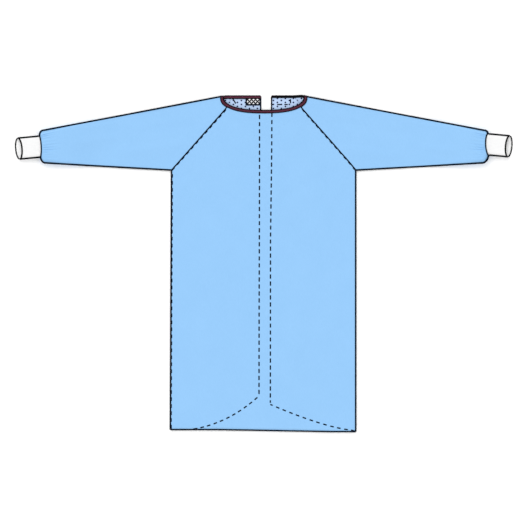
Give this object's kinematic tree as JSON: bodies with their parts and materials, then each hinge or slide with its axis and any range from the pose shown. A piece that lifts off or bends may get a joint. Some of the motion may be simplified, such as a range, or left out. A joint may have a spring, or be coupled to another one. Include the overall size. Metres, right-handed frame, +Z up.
{
  "type": "surgical gown",
  "caption": "Long-sleeved raglan surgical gown laid flat, front up, with bound round neck, open back, hook-and-loop neck tab and knitted cuffs.",
  "frame": {"origin": "middle of the surface that the gown lies on, below the middle of its bounding box", "axes": "+X to the right as the front is seen, along the span from cuff to cuff; +Y from the hem to the neck; +Z up from the surface"},
  "size_m": [1.8536, 1.254, 0.0312],
  "materials": {
    "gown_cloth": "sky blue spunbond nonwoven with a fine bond pattern, matt",
    "cuff_knit": "white ribbed knit, matt",
    "binding_cloth": "dark maroon woven binding, stitched edges",
    "hook_tape": "white hook tape with a dark diagonal grid",
    "loop_tape": "pale brushed loop tape"
  },
  "bodies": {
    "root": {"front_panel": "gown_cloth", "back_panel_left": "gown_cloth", "back_panel_right": "gown_cloth", "sleeve_left": "gown_cloth", "sleeve_right": "gown_cloth", "cuff_left": "cuff_knit", "cuff_right": "cuff_knit", "neck_binding": "binding_cloth", "hook_tape": "hook_tape", "loop_tape": "loop_tape"}
  },
  "joints": []
}
